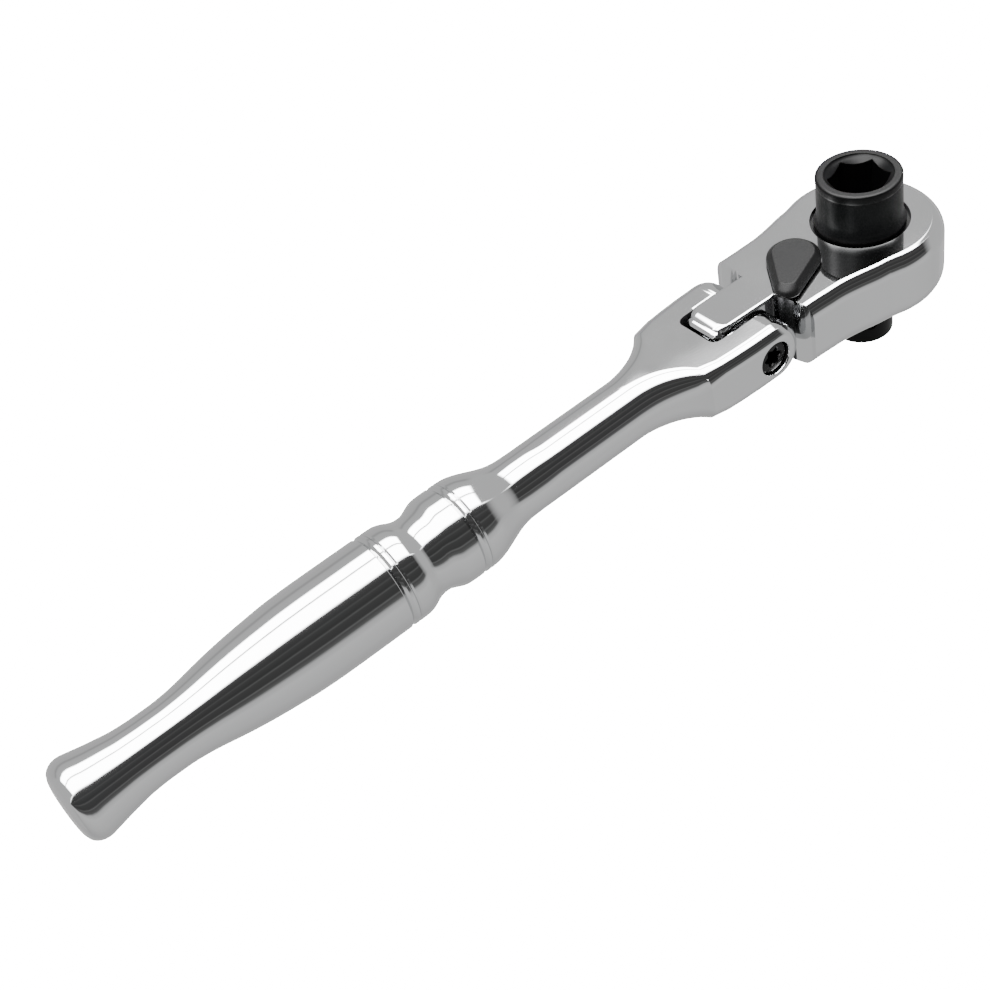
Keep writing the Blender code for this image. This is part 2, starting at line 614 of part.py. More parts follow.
def main():
    clear_scene()
    chrome = make_material("chrome_plate", (0.72, 0.73, 0.74), 1.0, 0.12)
    black = make_material("black_oxide_steel", (0.03, 0.03, 0.032), 0.6, 0.42)
    steel = make_material("plain_steel", (0.55, 0.55, 0.56), 1.0, 0.3)
    spring_steel = make_material("spring_steel", (0.4, 0.4, 0.42), 1.0, 0.35)
    rubber = make_material("seal_rubber", (0.02, 0.02, 0.02), 0.0, 0.7)

    head = build_head()
    drive = build_drive()
    ring = washer("retaining_ring", UPPER_RADIUS + 0.25, RING_GROOVE_RADIUS - 0.1, RING_GROOVE_Z + 0.1,
                  RING_GROOVE_Z + 0.1 + RING_THICKNESS, 48, gap_deg=24, start_deg=100)
    thrust = washer("thrust_washer", FLOOR_HOLE_RADIUS + 0.05, BORE_RADIUS - 0.15, BORE_FLOOR_Z + 0.05,
                    GEAR_BOTTOM_Z - 0.05, 48)
    pin = lathe_z("pawl_pin", [(PIN_RADIUS - 0.3, -6.6), (PIN_RADIUS, -6.3), (PIN_RADIUS, 5.0),
                               (PIN_RADIUS - 0.3, 5.3)], 24, PIN_X)
    pawl = build_pawl()
    lever = build_lever()
    disc = build_lever_disc()
    clip = washer("lever_clip", 1.6, 3.2, 3.7, 4.0, 20, LEVER_X, gap_deg=70, start_deg=180)
    plunger, plunger_spring = build_plunger()
    bit_ball = ball("bit_retaining_ball", RETAINING_BALL_RADIUS, (0, 0, 0))
    a = math.radians(RETAINING_BALL_DEG)
    move_mesh(bit_ball, (4.95 * math.cos(a), 4.95 * math.sin(a), RETAINING_BALL_Z))

    handle = build_handle()
    screw = build_screw()
    near = build_pivot_washer("pivot_washer_near", -SLOT_HALF_WIDTH + 0.03, -TONGUE_HALF_WIDTH - 0.03)
    far = build_pivot_washer("pivot_washer_far", TONGUE_HALF_WIDTH + 0.03, SLOT_HALF_WIDTH - 0.03)
    ball_x = -HINGE_BACK - TONGUE_END_RADIUS - 0.05 - DETENT_BALL_RADIUS
    detent = ball("flex_detent_ball", DETENT_BALL_RADIUS, (ball_x, 0, 0))
    root = -HINGE_BACK - SLOT_REACH
    detent_spring = coil("flex_detent_spring", 0.85, 0.18, ball_x - DETENT_BALL_RADIUS - root + 6.8, 6.0)
    move_mesh(detent_spring, (root - 6.85, 0, 0))
    tilt_with_handle((handle, screw, detent, detent_spring))

    hinge = (-HINGE_BACK, 0, 0)
    place(head, hinge, chrome)
    place(drive, (0, 0, 0), black)
    place(ring, (0, 0, 0), spring_steel)
    place(thrust, (0, 0, 0), steel)
    place(pin, (PIN_X, 0, 0), steel)
    place(pawl, (PIN_X, 0, 0), steel)
    place(lever, (LEVER_X, 0, 0), black)
    place(disc, (LEVER_X, 0, 0), black)
    place(clip, (LEVER_X, 0, 0), spring_steel)
    place(plunger, (LEVER_X, 0, 0), steel)
    place(plunger_spring, (LEVER_X, 0, 0), spring_steel)
    place(bit_ball, (0, 0, 0), steel)
    place(handle, hinge, chrome)
    place(screw, hinge, black)
    place(near, hinge, steel)
    place(far, hinge, steel)
    place(detent, hinge, steel)
    place(detent_spring, hinge, spring_steel)


main()
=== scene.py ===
"""Flex-head ratchet wrench: polished chrome head and handle, black sockets and lever."""
import math

import bmesh
import bpy
from mathutils import Matrix, Vector


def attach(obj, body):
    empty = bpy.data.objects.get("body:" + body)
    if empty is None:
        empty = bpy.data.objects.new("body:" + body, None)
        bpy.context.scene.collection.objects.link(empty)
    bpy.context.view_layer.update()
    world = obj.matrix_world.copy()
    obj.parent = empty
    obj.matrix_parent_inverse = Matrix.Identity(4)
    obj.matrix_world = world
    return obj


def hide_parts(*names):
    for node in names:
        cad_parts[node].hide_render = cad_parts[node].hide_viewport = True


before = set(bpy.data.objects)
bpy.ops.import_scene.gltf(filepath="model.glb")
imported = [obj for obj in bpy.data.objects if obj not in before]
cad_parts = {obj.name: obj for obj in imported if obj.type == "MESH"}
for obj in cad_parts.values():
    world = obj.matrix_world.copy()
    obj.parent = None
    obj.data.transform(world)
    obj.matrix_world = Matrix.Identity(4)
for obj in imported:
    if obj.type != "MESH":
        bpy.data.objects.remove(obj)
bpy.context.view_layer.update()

MM = 0.001
DRIVE = Vector((79.73, 0.0, 18.3))      # centre of the drive in the row frame, mm
HINGE_BACK = 33.1                       # the rest is in mm from the drive's centre
HEAD_FLEX_DEG = 2.5

HEAD_RADIUS = 15.3
HEAD_HALF_HEIGHT = 6.75
HEAD_EDGE_REACH = 2.338                 # how far the rounded edge comes in over the flat face
HEAD_EDGE_TIGHT = 1.25                  # its radius beside the flat face
HEAD_EDGE_BROAD = 3.8                   # its radius beside the wall
HEAD_EDGE_CHANGE_DEG = 33.0             # slope where one radius follows the other
HEAD_EDGE_STEPS = 18
SHOULDER_HALF_WIDTH = 12.2
FAR_SHOULDER_EXTRA = 0.5
TONGUE_HALF_WIDTH = 4.4
TONGUE_END_RADIUS = 9.0
TONGUE_EDGE_RADIUS = 2.0
DETENT_STEP_DEG = 15.0
DETENT_DEPTH = 0.3
DETENT_HALF_DEG = 3.6

BORE_RADIUS = 9.24
BORE_FLOOR = -4.5
LOWER_BORE_RADIUS = 7.35
PAWL_PIN_X = -12.1
PAWL_PIN_HOLE_RADIUS = 1.22
LEVER_X = -17.1
LEVER_SWING_DEG = 38.0
LEVER_SEAT_RADIUS = 5.05
LEVER_SEAT_DEPTH = 0.9

HEX_TURN_DEG = 19.0
UPPER_HEX = 10.0
LOWER_HEX = 8.0
BALL_Z = -13.8
BALL_DEG = -120.0

YOKE_HALF_WIDTH = 11.2
YOKE_REAR_HALF_WIDTH = 10.35
YOKE_HALF_HEIGHT = 5.72
YOKE_FILLET = 2.6
EAR_TIP_BACK = 32.3
SLOT_HALF_WIDTH = 5.0
SLOT_REACH = 10.05
NEAR_EAR_EDGE = 0.4                     # the near ear's slot edge, as a share of the far one's
SCOOP_START = -59.2
SCOOP_RADIUS = 17.0
SHANK = 5.62
PIVOT_HOLE_RADIUS = 2.22
SCREW_SHANK_RADIUS = 2.1
COUNTERBORE_RADIUS = 3.22
COUNTERBORE_DEPTH = 3.4

SOFTBOX = 24.0
ROOM_GREY = 0.78
FLOOR_DROP = -0.036                     # m, clear of the head at full flex


# ---------------------------------------------------------------- mesh helpers
def new_object(name, verts, faces):
    mesh = bpy.data.meshes.new(name)
    mesh.from_pydata([(x * MM, y * MM, z * MM) for x, y, z in verts], [], faces)
    mesh.update()
    obj = bpy.data.objects.new(name, mesh)
    bpy.context.scene.collection.objects.link(obj)
    return obj


def face_outward(obj):
    work = bmesh.new()
    work.from_mesh(obj.data)
    bmesh.ops.recalc_face_normals(work, faces=work.faces)
    if work.calc_volume(signed=True) < 0:
        bmesh.ops.reverse_faces(work, faces=work.faces)
    work.to_mesh(obj.data)
    work.free()


def loft(name, rings, caps=True):
    count = len(rings[0])
    verts = [point for ring in rings for point in ring]
    faces = []
    for k in range(len(rings) - 1):
        for i in range(count):
            j = (i + 1) % count
            faces.append((k * count + i, k * count + j, (k + 1) * count + j, (k + 1) * count + i))
    if caps:
        faces.append(tuple(reversed(range(count))))
        faces.append(tuple((len(rings) - 1) * count + i for i in range(count)))
    obj = new_object(name, verts, faces)
    face_outward(obj)
    return obj


def ring_z(radius, z, count, cx=0.0, cy=0.0, turn=0.0):
    step = 2 * math.pi / count
    return [(cx + radius * math.cos(turn + step * i), cy + radius * math.sin(turn + step * i), z)
            for i in range(count)]


def lathe_z(name, profile, count, cx=0.0, cy=0.0):
    return loft(name, [ring_z(radius, z, count, cx, cy) for radius, z in profile])


def lathe_y(name, profile, count, cx, cz):
    step = 2 * math.pi / count
    rings = []
    for radius, y in profile:
        rings.append([(cx + radius * math.cos(step * i), y, cz + radius * math.sin(step * i))
                      for i in range(count)])
    return loft(name, rings)


def prism_z(name, outline, z0, z1):
    return loft(name, [[(x, y, z0) for x, y in outline], [(x, y, z1) for x, y in outline]])


def apply_boolean(target, tool, operation):
    modifier = target.modifiers.new("cut", "BOOLEAN")
    modifier.operation = operation
    modifier.solver = "EXACT"
    modifier.object = tool
    depsgraph = bpy.context.evaluated_depsgraph_get()
    mesh = bpy.data.meshes.new_from_object(target.evaluated_get(depsgraph))
    target.modifiers.clear()
    target.data = mesh
    bpy.data.objects.remove(tool, do_unlink=True)


def cut(target, *tools):
    for tool in tools:
        apply_boolean(target, tool, "DIFFERENCE")


def join(target, *tools):
    for tool in tools:
        apply_boolean(target, tool, "UNION")


def smooth(obj, angle_deg=32.0):
    for polygon in obj.data.polygons:
        polygon.use_smooth = True
    obj.data.set_sharp_from_angle(angle=math.radians(angle_deg))


def soften(obj, width_mm, segments=3, angle_deg=35.0):
    """Small worn radius on every hard edge."""
    bevel = obj.modifiers.new("edge_radius", "BEVEL")
    bevel.width = width_mm * MM
    bevel.segments = segments
    bevel.limit_method = "ANGLE"
    bevel.angle_limit = math.radians(angle_deg)
    bevel.use_clamp_overlap = True
    weighted = obj.modifiers.new("flat_faces_flat", "WEIGHTED_NORMAL")
    weighted.mode = "FACE_AREA"
    weighted.weight = 60
    weighted.keep_sharp = True
    return bevel


def set_in_frame(obj, tilted=False):
    """Moves a mesh made about the drive axis into the row frame."""
    move = Matrix.Translation(DRIVE * MM)
    if tilted:
        hinge = Vector((-HINGE_BACK, 0, 0)) * MM
        turn = Matrix.Rotation(math.radians(-HEAD_FLEX_DEG), 4, "Y")
        move = move @ Matrix.Translation(hinge) @ turn @ Matrix.Translation(-hinge)
    obj.data.transform(move)
    obj.data.update()


def curve_through(points, t):
    """Smooth value at t along a list of (t, value) knots, without overshoot."""
    last = len(points) - 1
    if t <= points[0][0]:
        return points[0][1]
    if t >= points[last][0]:
        return points[last][1]
    k = 0
    while points[k + 1][0] < t:
        k += 1

    def slope(i):
        if i <= 0 or i >= last:
            return 0.0
        left = (points[i][1] - points[i - 1][1]) / (points[i][0] - points[i - 1][0])
        right = (points[i + 1][1] - points[i][1]) / (points[i + 1][0] - points[i][0])
        if left * right <= 0:
            return 0.0
        return 2 * left * right / (left + right)

    t0, v0 = points[k]
    t1, v1 = points[k + 1]
    h = t1 - t0
    u = (t - t0) / h
    return ((2 * u ** 3 - 3 * u ** 2 + 1) * v0 + (u ** 3 - 2 * u ** 2 + u) * h * slope(k)
            + (3 * u ** 2 - 2 * u ** 3) * v1 + (u ** 3 - u ** 2) * h * slope(k + 1))


def catmull(points, per_span):
    result = []
    last = len(points) - 1
    for k in range(last):
        p0 = points[max(k - 1, 0)]
        p1 = points[k]
        p2 = points[k + 1]
        p3 = points[min(k + 2, last)]
        for i in range(per_span):
            t = i / per_span
            value = []
            for c in range(2):
                value.append(0.5 * (2 * p1[c] + (p2[c] - p0[c]) * t
                                    + (2 * p0[c] - 5 * p1[c] + 4 * p2[c] - p3[c]) * t * t
                                    + (3 * p1[c] - p0[c] - 3 * p2[c] + p3[c]) * t ** 3))
            result.append(tuple(value))
    result.append(points[last])
    return result


# ---------------------------------------------------------------- materials
def node(tree, kind, **inputs):
    made = tree.nodes.new(kind)
    for key, value in inputs.items():
        made.inputs[key.replace("_", " ")].default_value = value
    return made


def polished(name, colour, rough_low, rough_high, bump, scale=60.0):
    """Plated metal: faint buffing marks, slight waviness and a little haze that varies."""
    material = bpy.data.materials.new(name)
    material.use_nodes = True
    tree = material.node_tree
    shader = tree.nodes["Principled BSDF"]
    shader.inputs["Base Color"].default_value = (*colour, 1.0)
    shader.inputs["Metallic"].default_value = 1.0
    place = tree.nodes.new("ShaderNodeTexCoord")
    haze = node(tree, "ShaderNodeTexNoise", Scale=scale, Detail=4.0, Roughness=0.6)
    tree.links.new(place.outputs["Object"], haze.inputs["Vector"])
    spread = node(tree, "ShaderNodeMapRange")
    spread.inputs["From Min"].default_value = 0.35
    spread.inputs["From Max"].default_value = 0.7
    spread.inputs["To Min"].default_value = rough_low
    spread.inputs["To Max"].default_value = rough_high
    tree.links.new(haze.outputs["Fac"], spread.inputs["Value"])
    tree.links.new(spread.outputs["Result"], shader.inputs["Roughness"])
    stretch = tree.nodes.new("ShaderNodeMapping")
    stretch.inputs["Scale"].default_value = (0.25, 1.0, 1.0)
    tree.links.new(place.outputs["Object"], stretch.inputs["Vector"])
    marks = node(tree, "ShaderNodeTexNoise", Scale=2600.0, Detail=3.0, Roughness=0.55)
    tree.links.new(stretch.outputs["Vector"], marks.inputs["Vector"])
    wave = node(tree, "ShaderNodeTexNoise", Scale=85.0, Detail=1.0, Roughness=0.4)
    tree.links.new(place.outputs["Object"], wave.inputs["Vector"])
    fine = tree.nodes.new("ShaderNodeBump")
    fine.inputs["Strength"].default_value = bump
    fine.inputs["Distance"].default_value = 0.00002
    tree.links.new(marks.outputs["Fac"], fine.inputs["Height"])
    broad = tree.nodes.new("ShaderNodeBump")
    broad.inputs["Strength"].default_value = 0.12
    broad.inputs["Distance"].default_value = 0.0003
    tree.links.new(wave.outputs["Fac"], broad.inputs["Height"])
    tree.links.new(fine.outputs["Normal"], broad.inputs["Normal"])
    tree.links.new(broad.outputs["Normal"], shader.inputs["Normal"])
    return material


def blackened(name, dark, pale, rough_low, rough_high, grain, sheen):
    """Black oxide on steel: satin, fine grain, paler where it has rubbed."""
    material = bpy.data.materials.new(name)
    material.use_nodes = True
    tree = material.node_tree
    shader = tree.nodes["Principled BSDF"]
    shader.inputs["Metallic"].default_value = 0.0
    shader.inputs["Specular IOR Level"].default_value = sheen
    place = tree.nodes.new("ShaderNodeTexCoord")
    cloud = node(tree, "ShaderNodeTexNoise", Scale=160.0, Detail=6.0, Roughness=0.65)
    tree.links.new(place.outputs["Object"], cloud.inputs["Vector"])
    ramp = tree.nodes.new("ShaderNodeValToRGB")
    ramp.color_ramp.elements[0].position = 0.3
    ramp.color_ramp.elements[0].color = (*dark, 1.0)
    ramp.color_ramp.elements[1].position = 0.75
    ramp.color_ramp.elements[1].color = (*pale, 1.0)
    tree.links.new(cloud.outputs["Fac"], ramp.inputs["Fac"])
    tree.links.new(ramp.outputs["Color"], shader.inputs["Base Color"])
    spread = node(tree, "ShaderNodeMapRange")
    spread.inputs["To Min"].default_value = rough_low
    spread.inputs["To Max"].default_value = rough_high
    tree.links.new(cloud.outputs["Fac"], spread.inputs["Value"])
    tree.links.new(spread.outputs["Result"], shader.inputs["Roughness"])
    speck = node(tree, "ShaderNodeTexNoise", Scale=3800.0, Detail=2.0, Roughness=0.6)
    tree.links.new(place.outputs["Object"], speck.inputs["Vector"])
    bump = tree.nodes.new("ShaderNodeBump")
    bump.inputs["Strength"].default_value = grain
    bump.inputs["Distance"].default_value = 0.00004
    tree.links.new(speck.outputs["Fac"], bump.inputs["Height"])
    tree.links.new(bump.outputs["Normal"], shader.inputs["Normal"])
    return material


chrome = polished("chrome_plate", (0.60, 0.605, 0.61), 0.035, 0.075, 0.05)
# Near-black chrome for the walls of narrow gaps: painted shade, standing in for the shadow inside them.
painted_shade_chrome = polished("chrome_painted_shade", (0.05, 0.05, 0.052), 0.34, 0.48, 0.05)
ground = polished("ground_steel", (0.50, 0.50, 0.51), 0.22, 0.34, 0.3, 120.0)
wire = polished("spring_steel", (0.36, 0.36, 0.38), 0.25, 0.4, 0.2, 150.0)
socket_black = blackened("black_oxide", (0.0008, 0.0008, 0.0009), (0.0014, 0.0014, 0.0015),
                         0.28, 0.38, 0.2, 0.10)
lever_black = blackened("black_coating", (0.0024, 0.0024, 0.0025), (0.0036, 0.0036, 0.0037),
                        0.34, 0.44, 0.3, 0.09)
screw_black = blackened("black_screw", (0.0010, 0.0010, 0.0011), (0.0022, 0.0022, 0.0023),
                        0.22, 0.34, 0.3, 0.2)


def finish_piece(obj, material, body, nodes, tilted=False, angle=32.0, painted_shade_faces=None):
    """The optional picker chooses, from a face's centre in mm and its normal, the walls of gaps; these get a
    dark chrome, which is painted shade.
    """
    obj.data.materials.clear()
    obj.data.materials.append(material)
    for polygon in obj.data.polygons:
        polygon.material_index = 0
    # Faces that the picker chooses get the dark chrome as painted shade.
    if painted_shade_faces:
        obj.data.materials.append(painted_shade_chrome)
        for polygon in obj.data.polygons:
            if painted_shade_faces(polygon.center / MM, polygon.normal):
                polygon.material_index = 1
    set_in_frame(obj, tilted)
    smooth(obj, angle)
    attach(obj, body)
    if nodes:
        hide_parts(*nodes)
    return obj


# ---------------------------------------------------------------- handle
def rounded_section(x, half_y, half_z, radius, per_corner):
    points = []
    for corner, (sy, sz) in enumerate(((1, 1), (-1, 1), (-1, -1), (1, -1))):
        cy = sy * (half_y - radius)
        cz = sz * (half_z - radius)
        for i in range(per_corner):
            a = math.pi / 2 * (corner + (i + 0.5) / per_corner)
            points.append((x, cy + radius * math.cos(a), cz + radius * math.sin(a)))
    return points


# Radius of the turned part of the handle, from the pommel's rim to the shank.
GRIP = ((-174.5, 5.15), (-174.25, 5.85), (-173.9, 6.4), (-173.4, 6.85), (-172.8, 7.18), (-172.1, 7.38),
        (-171.3, 7.45), (-169.8, 7.2), (-167.6, 6.75), (-165.0, 6.3), (-162.4, 5.92), (-159.0, 5.75),
        (-155.5, 5.76), (-152.6, 5.95), (-149.6, 6.35), (-146.6, 6.87), (-143.4, 7.38), (-139.8, 7.83),
        (-135.4, 8.26), (-131.0, 8.6), (-126.0, 8.74), (-120.0, 8.76), (-110.5, 8.74), (-109.2, 8.68),
        (-108.2, 8.42), (-106.9, 7.85), (-105.6, 7.42), (-104.2, 7.38), (-102.9, 7.8), (-101.9, 8.25),
        (-100.6, 8.55), (-98.3, 8.6), (-95.9, 8.6), (-94.4, 8.5), (-92.8, 8.15), (-90.8, 7.45),
        (-88.8, 6.7), (-86.8, 6.1), (-84.8, 5.82), (-81.5, 5.74))
POMMEL_DOME = ((-174.86, 1.2), (-174.83, 2.4), (-174.76, 3.5), (-174.65, 4.4))
COLLAR_GROOVES = ((-112.9, 0.42, 0.5), (-111.55, 0.2, 0.3), (-97.5, 0.42, 0.5), (-96.2, 0.2, 0.3))


def groove(x, at, depth, half):
    d = abs(x - at) / half
    if d >= 1:
        return 0.0
    return depth * (1 - d)


def slot_with_round_edges():
    """Tool for the yoke's slot: it widens over the last half millimetre below each face."""
    edge = ((0.5, 0.0), (0.35, 0.03), (0.2, 0.12), (0.1, 0.23), (0.03, 0.36), (-0.02, 0.55), (-3.0, 0.55))
    levels = [(YOKE_HALF_HEIGHT - below, flare) for below, flare in edge]
    rear = -HINGE_BACK - 4
    front = -20
    rings = []
    for z, flare in [(-z, flare) for z, flare in reversed(levels)] + levels:
        near = -SLOT_HALF_WIDTH - NEAR_EAR_EDGE * flare
        far = SLOT_HALF_WIDTH + flare
        rings.append([(rear, near, z), (front, near, z), (front, far, z), (rear, far, z)])
    return loft("tool", rings)


def build_handle():
    """Pommel, grip, collars, shank and forked yoke, as one forging."""
    per = 32
    rings = []
    for x, r in POMMEL_DOME:
        rings.append(rounded_section(x, r, r, r - 0.001, per))
    stops = []
    x = -174.5
    while x < -81.5:
        stops.append(x)
        x += 0.15 if x < -171.5 else 0.75
    for at, _, _ in COLLAR_GROOVES:
        stops += [at - 0.55, at - 0.3, at - 0.12, at, at + 0.12, at + 0.3, at + 0.55]
    for x in sorted(stops):
        r = curve_through(GRIP, x)
        for at, depth, half in COLLAR_GROOVES:
            r -= groove(x, at, depth, half)
        rings.append(rounded_section(x, r, r, r - 0.001, per))
    height = ((-81.5, 5.74), (-77.0, SHANK), (-66.0, SHANK), (-59.2, 5.6), (-53.0, YOKE_HALF_HEIGHT),
              (-40.0, YOKE_HALF_HEIGHT))
    corner = ((-81.5, 5.73), (-77.0, 5.3), (-60.0, 5.3), (-56.0, 5.1), (-52.5, 4.9),
              (-49.0, 4.3), (-46.7, 3.2))
    waist = ((-81.5, 5.74), (-77.0, SHANK))
    x = -81.0
    while x < SCOOP_START:
        rings.append(rounded_section(x, curve_through(waist, x), curve_through(height, x),
                                     curve_through(corner, x), per))
        x += 0.6
    reach = math.sqrt(SCOOP_RADIUS ** 2 - (SCOOP_RADIUS - YOKE_REAR_HALF_WIDTH + SHANK) ** 2)
    for i in range(31):
        x = SCOOP_START + reach * i / 30
        half = SHANK + SCOOP_RADIUS - math.sqrt(SCOOP_RADIUS ** 2 - (x - SCOOP_START) ** 2)
        rings.append(rounded_section(x, half, curve_through(height, x), curve_through(corner, x), per))
    for x, half in ((-44.0, 10.65), (-41.0, 10.9), (-37.0, 11.12), (-EAR_TIP_BACK, YOKE_HALF_WIDTH)):
        rings.append(rounded_section(x, half, YOKE_HALF_HEIGHT, YOKE_FILLET, per))
    handle = loft("handle_forging", rings)
    profile = []
    for i in range(17):
        a = math.pi / 2 * i / 16
        profile.append((YOKE_HALF_HEIGHT - YOKE_FILLET + YOKE_FILLET * math.sin(a),
                        -YOKE_HALF_WIDTH + YOKE_FILLET - YOKE_FILLET * math.cos(a)))
    profile += [(radius, -y) for radius, y in reversed(profile)]
    join(handle, lathe_y("tool", profile, 128, -EAR_TIP_BACK, 0))
    s = SLOT_HALF_WIDTH
    root = SLOT_REACH
    bowl = [(root - 1.4, -s), (root - 0.7, -s + 0.19), (root - 0.19, -s + 0.7), (root, -s + 1.4)]
    bowl += [(radius, -y) for radius, y in reversed(bowl)]
    cut(handle, slot_with_round_edges())
    cut(handle, lathe_y("tool", bowl, 160, -HINGE_BACK, 0))
    inner = -YOKE_HALF_WIDTH + COUNTERBORE_DEPTH
    face = -YOKE_HALF_WIDTH
    cut(handle, lathe_y("tool", [(COUNTERBORE_RADIUS + 0.5, -14), (COUNTERBORE_RADIUS + 0.28, face - 0.05),
                                 (COUNTERBORE_RADIUS + 0.1, face + 0.12), (COUNTERBORE_RADIUS, face + 0.35),
                                 (COUNTERBORE_RADIUS, inner), (PIVOT_HOLE_RADIUS, inner),
                                 (PIVOT_HOLE_RADIUS, 14)], 64, -HINGE_BACK, 0))
    soften(handle, 0.28)

    # Walls of the yoke's slot: these faces get painted shade.
    def slot_wall(at, facing):
        return at.x > -45 and abs(at.y) < s + 0.02 and abs(facing.y) > 0.8

    return finish_piece(handle, chrome, "handle", ["handle"], tilted=True,
                        painted_shade_faces=slot_wall)


# ---------------------------------------------------------------- head
def head_outline(per_span=7, nose_steps=90):
    """Plan of the head, run on behind the shoulders so that the rear can be cut square."""
    wide = SHOULDER_HALF_WIDTH
    side = [(-30.0, wide), (-26.0, wide), (-22.5, wide), (-19.5, wide + 0.1), (-16.0, wide + 0.25),
            (-12.5, wide + 0.8), (-9.0, wide + 1.55), (-6.6, 14.1)]
    rear = catmull(side, per_span)
    nose = []
    first = math.degrees(math.atan2(14.56, -4.7))
    for i in range(nose_steps + 1):
        a = math.radians(first * (1 - 2 * i / nose_steps))
        nose.append((HEAD_RADIUS * math.cos(a), HEAD_RADIUS * math.sin(a)))
    outline = rear + nose + [(x, -y) for x, y in reversed(rear)]
    outline.reverse()
    return outline


def inset(outline, distance):
    count = len(outline)
    result = []
    for i in range(count):
        p = Vector(outline[i])
        a = (p - Vector(outline[i - 1])).normalized()
        b = (Vector(outline[(i + 1) % count]) - p).normalized()
        na = Vector((-a.y, a.x))
        nb = Vector((-b.y, b.x))
        n = (na + nb).normalized()
        p = p + n * distance / max(n.dot(na), 0.5)
        result.append((p.x, p.y))
    return result


def rear_cut_outline():
    """Everything behind the rear face: hollow corners beside the tongue, square shoulders."""
    half = [(-26.1, 0.0), (-26.1, 4.9)]
    for i in range(8):
        a = math.radians(-42 + 42 * i / 7)
        half.append((-27.5 + 1.9 * math.cos(a), 6.3 + 1.9 * math.sin(a)))
    half += catmull([(-25.55, 7.1), (-25.4, 8.2), (-25.1, 9.4), (-24.75, 10.6), (-24.5, 11.4)], 4)
    half += [(-24.3, 14.0), (-45.0, 14.0)]
    far = [(x - FAR_SHOULDER_EXTRA * min(max((y - 7.1) / 3.5, 0.0), 1.0), y) for x, y in half]
    return [(x, -y) for x, y in reversed(half)] + far[1:]


def tongue_outline(end_radius, drop):
    """Side view of the tongue: flat top and bottom, notched round end about the hinge.

    Drop lowers the top and raises the bottom, which rounds the tongue's long edges.
    """
    top = HEAD_HALF_HEIGHT - drop
    edge = TONGUE_EDGE_RADIUS
    z = top - edge
    x = math.sqrt((end_radius - edge) ** 2 - z ** 2)
    lean = math.degrees(math.atan2(z, x))
    corner = []
    for i in range(13):
        a = math.radians(90 + (90 - lean) * i / 12)
        corner.append((-HINGE_BACK - x + edge * math.cos(a), z + edge * math.sin(a)))
    points = [(-20.0, -top)] + [(px, -pz) for px, pz in corner]
    steps = 96
    for i in range(1, steps):
        a = 180 + lean - 2 * lean * i / steps
        offset = (a - 180 - HEAD_FLEX_DEG) % DETENT_STEP_DEG
        offset = min(offset, DETENT_STEP_DEG - offset)
        r = end_radius - DETENT_DEPTH * max(0.0, 1 - (offset / DETENT_HALF_DEG) ** 2)
        points.append((-HINGE_BACK + r * math.cos(math.radians(a)), r * math.sin(math.radians(a))))
    points += list(reversed(corner))
    points.append((-20.0, top))
    return points


def build_head():
    """Head forging: round-edged plan, hollow rear corners, tongue, bore, pin hole and lever seat."""
    outline = head_outline()
    rings = []
    levels = []
    inward = HEAD_EDGE_REACH
    down = 0.0
    for k in range(HEAD_EDGE_STEPS + 1):
        levels.append((inward, -HEAD_HALF_HEIGHT + down))
        a = math.pi / 2 * (k + 0.5) / HEAD_EDGE_STEPS
        bend = HEAD_EDGE_TIGHT if a < math.radians(HEAD_EDGE_CHANGE_DEG) else HEAD_EDGE_BROAD
        inward = max(inward - bend * math.cos(a) * math.pi / 2 / HEAD_EDGE_STEPS, 0.0)
        down += bend * math.sin(a) * math.pi / 2 / HEAD_EDGE_STEPS
    levels += [(d, -z) for d, z in reversed(levels)]
    for distance, z in levels:
        rings.append([(x, y, z) for x, y in inset(outline, distance)])
    head = loft("head_shell", rings)
    cut(head, prism_z("tool", rear_cut_outline(), -9, 9))
    w = TONGUE_HALF_WIDTH
    rings = []
    for y, less, drop in ((-w, 1.9, 0.5), (-w + 0.03, 1.6, 0.33), (-w + 0.1, 1.35, 0.2),
                          (-w + 0.27, 0.97, 0.06), (-w + 0.4, 0.8, 0.01), (-w + 0.58, 0.58, 0.0),
                          (-w + 1.0, 0.27, 0.0), (-w + 1.5, 0.07, 0.0), (-w + 2.0, 0.0, 0.0)):
        rings.append([(x, y, z) for x, z in tongue_outline(TONGUE_END_RADIUS - less, drop)])
    for ring in reversed(rings[:]):
        rings.append([(x, -y, z) for x, y, z in ring])
    join(head, loft("tool", rings))
    cut(head, lathe_z("tool", [(LOWER_BORE_RADIUS, -9), (LOWER_BORE_RADIUS, BORE_FLOOR),
                               (BORE_RADIUS, BORE_FLOOR), (BORE_RADIUS, 9)], 144))
    cut(head, lathe_z("tool", [(PAWL_PIN_HOLE_RADIUS, -9), (PAWL_PIN_HOLE_RADIUS, -5.0)], 32, PAWL_PIN_X))
    cut(head, lathe_z("tool", [(LEVER_SEAT_RADIUS, HEAD_HALF_HEIGHT - LEVER_SEAT_DEPTH),
                               (LEVER_SEAT_RADIUS, 9)], 96, LEVER_X))
    soften(head, 0.35)

    # Tongue sides and the near hollow corner: these faces get painted shade.
    def beside_tongue(at, facing):
        side = abs(at.y) < w + 0.02 and abs(facing.y) > 0.8
        near_hollow = -8.3 < at.y < -w
        return -38 < at.x < -25.2 and abs(facing.z) < 0.3 and (side or near_hollow)

    return finish_piece(head, chrome, "head", ["head_body"], painted_shade_faces=beside_tongue)


